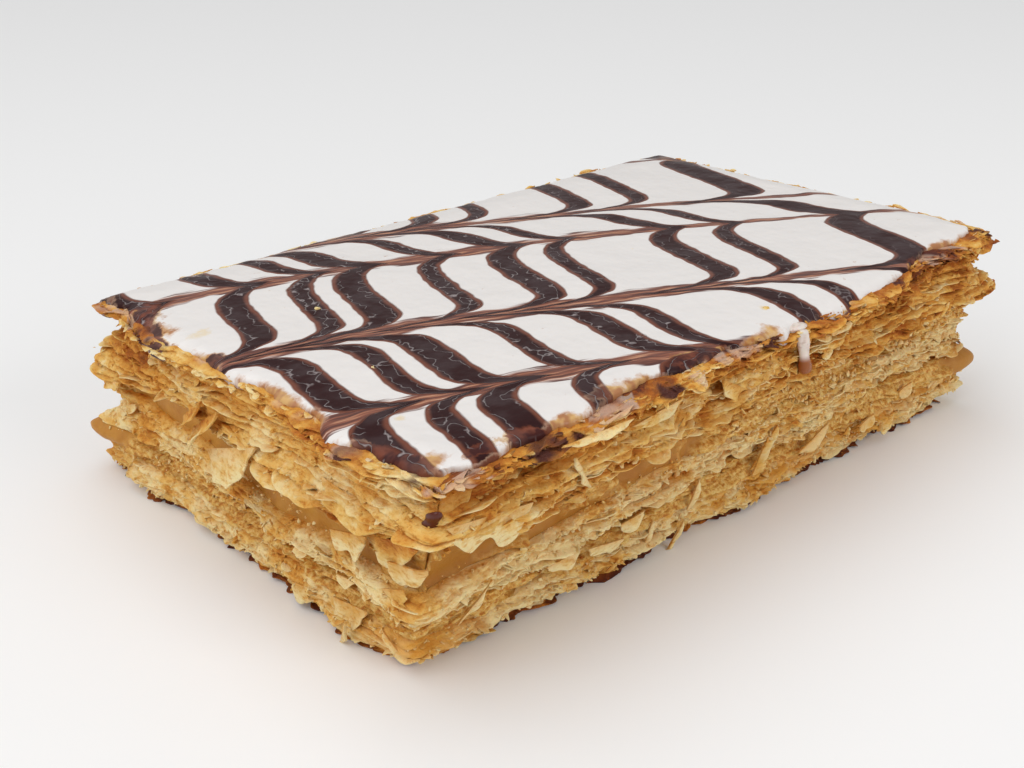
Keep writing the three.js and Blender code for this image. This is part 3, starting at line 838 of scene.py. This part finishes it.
ON_LONG_SIDE = [  # the same, with the walk from the near corner, negative where it goes round it
    (-1, 0.965, 16, 5, -50, 0, -6, 0.4, 0.3, -0.9),
    (-6, 0.67, 9, 3.8, -84, 12, -4, 0.25, 0.3, -0.3),
    (-12, 0.61, 7, 3.4, -76, 20, -8, 0.3, 0.24, 0.2),
    (-2.6, 0.60, 6, 3.2, -82, 16, -6, 0.3, 0.22, 0.5),
    (-3.5, 0.46, 5, 2.4, -80, 28, 0, 0.25, 0.24, 0.7),
    (6.8, 0.83, 12, 5, -66, -12, -8, 0.35, 0.14, 0.7),
    (21.4, 0.79, 7.5, 0.8, -60, -56, 0, 0.4, 0.12, 1.2),
    (21.6, 1, 12, 0.9, -20, -6, 0, 0.4, 0.2, 0.9),
    (34, 0.91, 9, 1.2, -60, 4, 0, 0.3, 0.28, 0.5),
    (49.6, 0.85, 7, 1.9, -75, -30, 0, 0.4, 0.3, 1.1),
    (7.6, 0.29, 6, 0.7, -70, 50, 0, 0.35, 0.06, 0.8),
    (30, 0.26, 7, 1.5, -74, -12, 0, 0.3, 0.06, 0.6),
    (48, 0.26, 5, 1, -75, 80, 0, 0.3, 0.05, 0.8),
    (39.5, 0.16, 4.2, 0.9, -75, 84, 0, 0.3, 0.06, 0.8),
    (61.7, 0.30, 6, 2, -75, 78, 0, 0.3, 0.08, 0.9),
    (45, 0.06, 5.5, 0.8, -70, 70, 0, 0.4, 0.08, 1.4),
    (22, 0.31, 6, 1.6, -70, 3, 0, 0.3, 0.05, 0.6),
    (35, 0.32, 5, 1.6, -70, 6, 0, 0.3, 0.07, 0.6),
    (73.6, 0.28, 6.8, 1.8, -74, 26, 0, 0.35, 0.14, 0.9),
    (62.5, 0.34, 7.7, 1.4, -74, 62, 0, 0.3, 0.1, 0.9),
    (89.4, 0.20, 4, 1.9, -72, 16, 0, 0.35, 0.1, 0.8),
    (95.5, 0.15, 4.4, 2.2, -74, 4, 0, 0.45, 0.12, 0.8),
    (100.8, 0.27, 3.5, 2, -74, 10, 0, 0.4, 0.1, 0.7),
]
torn = dict(zip(TORN_KEYS, np.array(ON_SHORT_SIDE + ON_LONG_SIDE).T))
starts = [LEFT - ROUND] * len(ON_SHORT_SIDE) + [NEAR] * len(ON_LONG_SIDE)
torn["along"] = torn["along"] + starts
torn["out"] = torn["out"] + cut_swell(torn["along"], torn["share"])
# painted shade at the roots, most under the long leaves
torn["deep"] = np.where(torn["length"] > 15, 1.8, 0.5)
for key, each in (("taper", 0.2), ("wave", 0.16), ("stains", 0)):
    torn[key] = np.full(len(starts), each)
flakes("torn_leaves", flake_template(18, 5), 400, torn, ragged=0.42)


# Crumbs: shattered pastry, the size of coarse sand, that the knife pressed into the cut faces and
# the cream. The lower half of the slice has most of them.
def crumb_cloud(name, count, seed, size, shares):
    bm = bmesh.new()
    bmesh.ops.create_icosphere(bm, subdivisions=1, radius=1.0)
    corner, loops, sides = template_of(bm)
    draw = np.random.default_rng(seed)
    along = draw.uniform(0, ROUND, count)
    share = draw.uniform(*shares, count)
    x, y = plan_at(along)
    out = np.full(count, -np.inf)
    for sheet in (BOTTOM, MIDDLE_SHEET, TOP):
        low, high = share_at(sheet["floor"], x, y), share_at(sheet["roof"], x, y)
        part = (share - low) / (high - low)
        _, stand, _ = cut_face(sheet, along, part.clip(0, 1))
        out = np.where((part > 0) & (part < 1), np.maximum(out, stand), out)
    out = np.where(np.isinf(out), cut_swell(along, share) - 0.9, out)
    turn = np.linalg.qr(draw.normal(0, 1, (count, 3, 3)))[0]
    stretch = size[0] * (size[1] / size[0]) ** (draw.uniform(0, 1, (count, 1)) ** 2)
    stretch = stretch * draw.uniform(0.35, 1.3, (count, 3))
    local = np.einsum("kij,kvj->kvi", turn, corner[None] * stretch[:, None, :])
    local = local * draw.uniform(0.7, 1.25, (count, corner.shape[0], 1))
    height = crust_height(on_ring(RING_MID, along))[:, None]
    level = share[:, None] + local[..., 2] / height
    xy = cut_point(along[:, None] + local[..., 0], level, out[:, None] + local[..., 1] + 0.05)
    z = np.maximum(level * crust_height(xy), 0.05)
    mesh = joined(name, to_metres(xy, z).reshape(-1, 3), loops, sides, count)
    toast = toast_at(along, share) + draw.normal(-0.08, 0.1, count)
    pastry_values(mesh, np.repeat(toast, corner.shape[0]))
    add_piece(name, mesh, PASTRY, crease=30)


crumb_cloud("crumbs", 4200, 500, size=(0.1, 0.42), shares=(0.03, 0.5))
crumb_cloud("crust_crumbs", 1000, 501, size=(0.12, 0.5), shares=(0.62, 1.0))


# Icing: fondant poured over the crust and set, with lines of melted chocolate piped across it
# while wet and a knife drawn through them, first one way and then the other.
PULLS = [  # how far the knife drags, how near it, and its path as powers of the distance along
    (-16.3, 1.5, (0.0022, 0.1755, -7.51)),
    (6.8, 2.8, (0.00239, 0.1563, 8.47)),
    (-15.9, 1.4, (-1.55e-05, 0.00368, 0.2441, 33.13)),
    (8.0, 1.3, (0.002, 0.2898, 55.84)),
    (6.5, 1.8, (0.921, -101.7)),
]
PIPED = [  # where each line starts, how it leans, half its width
    (-1.3, -0.235, 2.1), (12.6, -0.176, 2.4), (23.7, -0.212, 1.9), (31.7, -0.223, 2.7),
    (45.5, -0.251, 1.9), (57.4, -0.235, 2.5), (67.5, -0.272, 1.8), (86.3, -0.253, 2.4),
    (98.1, -0.275, 1.9), (117.5, -0.227, 3.4),
]


def feather(tree):
    """The plan in mm and the distance along it, how far the nearest dragged line and knife path
    are, and a place on that path for its threads."""
    place = value_of(tree, "plan", "Vector")
    wobble = put(tree, "ShaderNodeTexNoise", Vector=place, Scale=0.3, Detail=1.0)
    shift = put(tree, "ShaderNodeVectorMath", {"operation": "MULTIPLY_ADD"})
    connect(shift, {0: wobble.outputs["Color"], 1: (0.9, 0.9, 0), 2: (-0.45, -0.45, 0)})
    moved = put(tree, "ShaderNodeVectorMath", {"operation": "ADD"}, s0=place, s1=shift.outputs[0])
    x, y, _ = put(tree, "ShaderNodeSeparateXYZ", s0=moved.outputs[0]).outputs
    back_x, back_y, nearest, side = x, y, None, None
    for drag, spread, powers in PULLS:
        path, slope = powers[0], 0.0
        for power in powers[1:]:
            slope = scaled(slope, x, path)
            path = scaled(path, x, power)
        steep = sums("SQRT", scaled(slope, slope, 1.0))
        across = sums("DIVIDE", sums("SUBTRACT", y, path), steep)
        off = sums("ABSOLUTE", across)
        pull = sums("EXPONENT", times(off, -1 / spread))
        pull = sums("DIVIDE", times(pull, drag), steep)
        back_x = sums("SUBTRACT", back_x, pull)
        back_y = sums("SUBTRACT", back_y, times(pull, slope))
        if nearest is None:
            nearest, side = off, across
            continue
        closer = sums("LESS_THAN", off, nearest)
        swap = times(sums("SUBTRACT", across, side), closer)
        side = sums("ADD", side, swap)
        nearest = sums("MINIMUM", nearest, off)
    line = None
    for start, lean, half in PIPED:
        centre = scaled(back_y, lean, start)
        off = sums("ABSOLUTE", sums("SUBTRACT", back_x, centre))
        off = sums("SUBTRACT", off, half)
        line = off if line is None else sums("MINIMUM", line, off)
    thread = put(tree, "ShaderNodeCombineXYZ", s0=side, s1=times(x, 0.07))
    return place, x, line, nearest, thread.outputs[0]


def icing_paint():
    material, tree, shader = paint("feathered_fondant", 0.3)
    place, x, line, pull, thread = feather(tree)
    white, dark = (0.82, 0.785, 0.76, 1), (0.030, 0.0078, 0.008, 1)
    rust = (0.17, 0.045, 0.02, 1)
    inside = band(line, 0.30, -0.04)
    core = band(line, -0.2, -0.9)
    far = band(x, 45.0, 105.0)
    # chocolate drawn out along the knife path in a braid of brown and tan threads
    width = scaled(speckle(tree, 0.12, 1, 0.5, place), 3.4, 0.15)
    width = times(width, scaled(far, -0.5, 1.0))
    threads = speckle(tree, 1.7, 2.0, 0.55, thread)
    inner = sums("DIVIDE", pull, width)
    trail = band(scaled(threads, -1.7, inner), 0.34, -0.06)
    trail = sums("MAXIMUM", trail, band(pull, 0.55, 0.3))
    browns = (0.36, (0.52, 0.25, 0.14)), (0.46, (0.26, 0.075, 0.035)), (0.6, (0.09, 0.02, 0.012))
    colour = lay(white, trail, 0.98, ramp(threads, *browns))
    colour = blend(inside, colour, blend(core, rust, dark))
    # toward the edges the icing thins: golden crust and smeared chocolate show through
    scum = speckle(tree, 0.42, 2.4, 0.6, place)
    cloud = scaled(speckle(tree, 2.4, 3, 0.65, place), 0.5, scaled(scum, 1.3, -0.95))
    bare = sums("ADD", value_of(tree, "thin"), cloud)
    glaze = ramp(scum, (0.42, (0.66, 0.39, 0.12)), (0.58, (0.40, 0.15, 0.035)))
    glaze = blend(inside, glaze, (0.15, 0.04, 0.02, 1))
    colour = lay(colour, band(bare, 0.26, 0.5), 0.5, (0.60, 0.38, 0.26, 1))
    colour = lay(colour, band(bare, 0.42, 0.75), 0.9, glaze)
    melt = sums("ADD", value_of(tree, "melt"), cloud)
    maroon = ramp(scum, (0.4, (0.20, 0.06, 0.035)), (0.56, (0.055, 0.015, 0.014)))
    colour = lay(colour, band(melt, 0.22, 0.42), 0.7, glaze)
    colour = lay(colour, band(melt, 0.38, 0.62), 0.96, maroon)
    butter = band(sums("ADD", value_of(tree, "butter"), cloud), 0.3, 0.7)
    colour = lay(colour, butter, 0.6, (0.80, 0.62, 0.33, 1))
    # wrinkles where the skin of the chocolate set before the knife moved it, in the bump, with a
    # painted highlight in light grey along their crests and a painted sheen on the dark chocolate
    drift = speckle(tree, 0.42, 1.4, 0.6, place)
    crease = scaled(drift, 6.0, sums("ADD", line, -1.9))
    wrinkle_glint = band(sums("ABSOLUTE", crease), 0.22, 0.0)
    pool = speckle(tree, 0.2, 2, 0.5, place)
    fade = times(band(pool, 0.38, 0.47), scaled(far, -0.85, 1.0))
    wrinkle_glint = times(wrinkle_glint, fade)
    # painted sheen: broad patches of the dark chocolate lightened a little, as a soft reflection
    sheen = times(band(pool, 0.42, 0.62), core)
    colour = lay(colour, sheen, 0.5, (0.065, 0.042, 0.044, 1))
    # painted highlight: light grey lines along the wrinkle crests
    colour = lay(colour, times(wrinkle_glint, core), 0.9, (0.34, 0.29, 0.29, 1))
    height = times(wrinkle_glint, scaled(inside, 0.8, 0.08))
    relief = sums("ADD", times(inside, 0.6), height)
    relief = scaled(drift, 0.7, relief)
    gloss = scaled(core, -0.2, 0.28)
    finish(shader, colour, relief, (0.0003, 0.8), gloss, (0.1, 0.0008, (1.0, 0.9, 0.8)))
    return material


ICING = icing_paint()
# Where the icing reaches, at the near, right, back and left corners, the length of its sides, and
# the size of the plan that its pattern is drawn on, in mm.
LID = np.array([(0.5, -4.2), (121.2, 1.2), (118.2, 70.6), (0.8, 71.6)])
LID_LONG, LID_SHORT = 120, 73
PLAN_LONG, PLAN_SHORT = 121, 76
ICING_DEPTH = 1.2
LAP_REACH = 2.2
LAPS = [  # where the icing stops short of its edge or laps over it: walk, reach, by how much
    (2, 4, -2.4), (14, 7, -1), (27, 4, -1), (35, 5, -1.6), (46, 8, -0.6), (57, 4, 0.6),
    (66, 7, 1.9), (79, 9, 2.4), (92, 6, 1), (100, 6, -0.8), (107, 5, 0.6), (121, 4, -1.4),
    (-8, 5, 0.9), (-17.5, 3.5, 2.6), (-22, 3, -0.6), (-30, 4, 0.6), (-40, 5, 1.7), (-48, 4, 0.6),
    (-54, 6, 3), (-61, 5, 2.6), (-73, 3.5, 2.4),
]
# What shows through near the edges: place on the plan, reach both ways, strength.
BARE_CRUST = [
    (-0.5, 0, 1.6, 2.6, 0.5), (-0.6, 17.5, 1.6, 3.4, 0.7), (-1.5, 30, 1.6, 3.2, 0.8),
    (-0.6, 45.5, 1.8, 4, 1.1), (-0.2, 53, 1.4, 1.8, 0.8), (-0.2, 62.3, 1, 1.6, 1),
    (2.4, 71, 2.6, 2, 1), (9, 75.4, 5, 1.1, 0.8), (20, 74.4, 3.2, 1.4, 1),
    (28.6, 72.8, 2.6, 1.3, 1.1), (34, 73.8, 3.4, 1.6, 0.8), (55, 76.2, 2.4, 1.2, 0.8),
    (59, 75.4, 1.5, 1.8, 0.8), (86, 78.6, 2.2, 0.9, 0.8), (106, 76, 4, 2, 1),
    (114, 76.8, 4, 1.6, 0.8), (119.5, 62.5, 1.2, 1.8, 0.8), (119, 6, 3, 3.6, 0.9),
    (26, 0, 2.2, 1.6, 1), (40, 0.5, 3, 1.4, 0.9), (14, 0.6, 2, 1, 0.8),
]
SMEARED_CHOCOLATE = [
    (1.4, 8.6, 1.5, 2.2, 1), (-1, 11, 2.4, 2.6, 1.1), (-2.4, 15, 2, 3.2, 1.1),
    (-3, 19.5, 1.5, 3.2, 1), (-0.6, 30.5, 1.5, 1.7, 1.1), (-1.6, 45.5, 1, 2, 0.9),
    (0.4, 66, 1.4, 2.8, 1.1), (1.6, 69, 1.6, 1.2, 0.9), (-0.8, 67, 1.5, 3.6, 1),
    (8.5, 72.8, 2.4, 1, 0.9), (13.4, 73.2, 1.8, 1.4, 1), (15, 76, 3, 1, 0.9),
    (15.6, 74.4, 1.1, 1.8, 1), (27.4, 75.4, 2.4, 1.2, 1), (43, 73.8, 2.8, 1.3, 1.1),
    (47.5, 75.2, 2.4, 1.4, 1.1), (66, 78.8, 2.4, 1.2, 1), (76.5, 78.6, 3, 1.2, 1.2),
    (97.5, 76.6, 2.6, 1.6, 1.1), (101, 76.5, 1.8, 1.2, 0.9),
]
BUTTER = [(2.2, 22.5, 2.2, 1.8, 0.75), (6.4, 61, 0.9, 0.8, 1), (63.8, 71.2, 0.9, 1, 0.9)]


def icing_edge(walk):
    """How far the icing stops short of its straight edge (negative) or laps over (positive)."""
    x, y = plan_at(walk)
    edge = 0.7 * lumps(x, y, 6, 0.5, 71) + 0.45 * lumps(x, y, 2, 0.5, 72)
    edge = edge + 0.25 * lumps(x, y, 0.8, 0.5, 73)
    for spot, reach, by in LAPS:
        edge = edge + by * hill(walk_past(walk, spot) / reach)
    return edge - 0.5 + smooth(y, 60, 70)


def on_lid(u, v):
    """A place on the icing, from 0 to 1 along the long side and along the short one."""
    near, right, back, left = LID
    u, v = np.asarray(u)[..., None], np.asarray(v)[..., None]
    return near * (1 - u) * (1 - v) + right * u * (1 - v) + back * u * v + left * (1 - u) * v


bm = bmesh.new()
bmesh.ops.create_grid(bm, x_segments=346, y_segments=216, size=0.5)
mesh = mesh_from(bm, "feathered_icing")
u, v = read_points(mesh)[:, :2].T + 0.5
spans = [v * LID_SHORT, (1 - u) * LID_LONG, (1 - v) * LID_SHORT, u * LID_LONG]
outward = np.array([(0, -1), (1, 0), (0, 1), (-1, 0)])
walks = [
    NEAR + u * (RIGHT - NEAR),
    RIGHT + v * (BACK - RIGHT),
    BACK + (1 - u) * (LEFT - BACK),
    LEFT + (1 - v) * (ROUND + NEAR - LEFT),
]
laps = [icing_edge(walk) * np.exp(-span / LAP_REACH) for span, walk in zip(spans, walks)]
shift = sum(lap[:, None] * way for lap, way in zip(laps, outward))
flat = on_lid(u, v) + shift
# rounded corners: pull in where two edges meet
short = np.sort(np.stack(spans, -1), axis=-1)
corner_pull = 1.3 * np.exp(-(short[:, 0] + short[:, 1]) / 2.5)
inward = LID.mean(0) - flat
inward = inward / np.linalg.norm(inward, axis=1)[:, None]
flat = flat + inward * corner_pull[:, None]
# the skin is level in the middle, rounds off at the edge and droops where it laps far over
edge_gap = short[:, 0]
lip = 1 - np.clip(edge_gap / 1.5, 0, 1)
undulate = 0.28 * lumps(*flat.T, 14, 0.5, 75) + 0.12 * lumps(*flat.T, 4, 0.5, 76)
swollen = (0.75 + 0.5 * smooth(edge_gap, 0, 5)) * np.sqrt((1 - lip**2).clip(0))
droop = 0.9 * smooth(np.maximum.reduce(laps), 0.8, 2.2) * np.exp(-edge_gap / 1.2)
z = crust_height(flat) + swollen * 0.8 + undulate * smooth(edge_gap, 0, 6) + 0.15 - droop
mesh.vertices.foreach_set("co", to_metres(flat, z).ravel())
across, down = u * PLAN_LONG + shift[:, 0], (1 - v) * PLAN_SHORT - shift[:, 1]
layer = mesh.attributes.new("plan", "FLOAT_VECTOR", "POINT")
layer.data.foreach_set("vector", np.stack([across, down, np.zeros_like(u)], -1).ravel())
shown = []
for rows in (BARE_CRUST, SMEARED_CHOCOLATE, BUTTER):
    hills = [row[4] * hill((across - row[0]) / row[2], (down - row[1]) / row[3]) for row in rows]
    shown.append(sum(hills))
thin = 0.36 * np.exp(-edge_gap / 0.7) + shown[0]
write_values(mesh, thin=thin, melt=shown[1], butter=shown[2])
bm = bmesh.new()
bm.from_mesh(mesh)
rim = [edge for edge in bm.edges if edge.is_boundary]
fall = bmesh.ops.extrude_edge_only(bm, edges=rim)["geom"]
foot = [part for part in fall if isinstance(part, bmesh.types.BMVert)]
bmesh.ops.translate(bm, verts=foot, vec=(0, 0, -ICING_DEPTH * 0.001))
seal(bm, mesh)
add_piece("feathered_icing", mesh, ICING, "icing", crease=75)


# Rim: the torn edge of the crust, bare where the icing stops short of it. Its small leaves lie
# nearly flat, and a few are brown from the oven.
draw = np.random.default_rng(320)
rim = scatter(TOP, 950, 321, (0.8, 4.2), (0.3, 0.9), (-35, 6), (0.99, 1.0), 8, 0.0, 0.0)
count = len(rim["along"])
short_by = icing_edge(rim["along"]) - 0.9
inner = np.minimum(short_by - 0.7, -0.4)
rim["out"] = inner * draw.uniform(0, 1, count) + 0.2
rim["out"] = rim["out"] + cut_swell(rim["along"], 0.98) * (short_by > 0)
rim["share"] = np.where(short_by > -0.2, 0.975, 1.0) + draw.uniform(-0.012, 0.002, count)
shaded = 0.09 * (1 - facing_at(rim["along"]))
rim["toast"] = rim["toast"] + draw.normal(-0.04, 0.13, count) - shaded
# less painted shade at the roots of the flat rim leaves
rim["deep"] = rim["deep"] * 0.4
flakes("rim_leaves", CHIP, 322, rim, "pastry_top")


# Run of icing: a drip that slid down the long side and set, with a tip stained by chocolate, and
# the bead at the edge that it came from.
MEAN_HEIGHT = 29.0


def blob(name, material, walk, share, size, out, lean, blunt):
    """A set drop on the cut face: its walk is from the near corner, and its size along, out and
    up, in mm. It leans as it goes up, and blunt fills out its ends."""
    bm = bmesh.new()
    bmesh.ops.create_uvsphere(bm, u_segments=24, v_segments=24, radius=0.5)
    mesh = mesh_from(bm, name)
    x, y, z = read_points(mesh).T
    up = z * size[2]
    waist = 0.8 - 0.22 * hill((z + 0.08) / 0.2) + 0.25 * smooth(-z, 0.0, 0.4)
    wide = waist / np.sqrt(1 - blunt * (2 * z) ** 2) * (1 + 0.16 * grain(x * 3, y * 3, z * 4, 90))
    rise = share + up / MEAN_HEIGHT
    xy = cut_point(NEAR + walk + x * size[0] * wide + lean * up, rise, out + y * size[1] * wide)
    mesh.vertices.foreach_set("co", to_metres(xy, rise * crust_height(xy)).ravel())
    write_values(mesh, low=0.5 - z)
    bm = bmesh.new()
    bm.from_mesh(mesh)
    seal(bm, mesh)
    add_piece(name, mesh, material, crease=180)


run_paint, run_tree, run_shader = paint("icing_run", 0.25)
tip = band(value_of(run_tree, "low"), 0.54, 0.72)
streak = band(speckle(run_tree, 700, 2), 0.45, 0.7)
tip = sums("MAXIMUM", tip, times(streak, 0.4))
run_tint = blend(tip, (0.78, 0.69, 0.62, 1), (0.30, 0.085, 0.018, 1))
run_look = {"Base Color": run_tint, "Specular IOR Level": 0.25}
run_look.update({"Subsurface Weight": 0.1, "Subsurface Scale": 0.001})
connect(run_shader, run_look)
blob("icing_run", run_paint, 63.8, 0.865, (2.7, 1.8, 7.8), out=1.3, lean=-0.55, blunt=0.9)
blob("icing_bead", run_paint, 62.0, 0.99, (4.4, 2.6, 1.6), out=0.2, lean=0.0, blunt=0.4)


# Chocolate drop: a bead of melted chocolate that fell on the big leaf at the near corner, ran a
# little and set there.
cocoa_paint, _, cocoa_shader = paint("melted_chocolate", 0.22)
cocoa_look = {"Base Color": (0.09, 0.016, 0.008, 1), "Specular IOR Level": 0.35}
connect(cocoa_shader, cocoa_look)
blob("chocolate_drop", cocoa_paint, -0.3, 0.892, (2.4, 0.9, 2.7), out=0.15, lean=0.3, blunt=0.0)


# Crumbs on the icing: a few specks of pale pastry that fell on it after it was poured, and stuck.
# Each has a place on the icing's plan and a size, in mm.
SPECKS = [(18.5, 26.1, 0.7), (12.4, 48.2, 0.8), (64.0, 71.3, 0.6), (31.0, 12.0, 0.35), (70, 40, 0.3)]
bm = bmesh.new()
draw = np.random.default_rng(600)
for across, down, size in SPECKS:
    spot = on_lid(across / PLAN_LONG, 1 - down / PLAN_SHORT)
    ball = bmesh.ops.create_icosphere(bm, subdivisions=2, radius=size * 0.001)["verts"]
    for corner in ball:
        corner.co = corner.co * draw.uniform(0.75, 1.2)
        corner.co.z *= 0.7
    bmesh.ops.translate(bm, verts=ball, vec=Vector(to_metres(spot, crust_height(spot) + 0.85)))
mesh = mesh_from(bm, "icing_crumbs")
pastry_values(mesh, -0.1)
add_piece("icing_crumbs", mesh, PASTRY, crease=30)
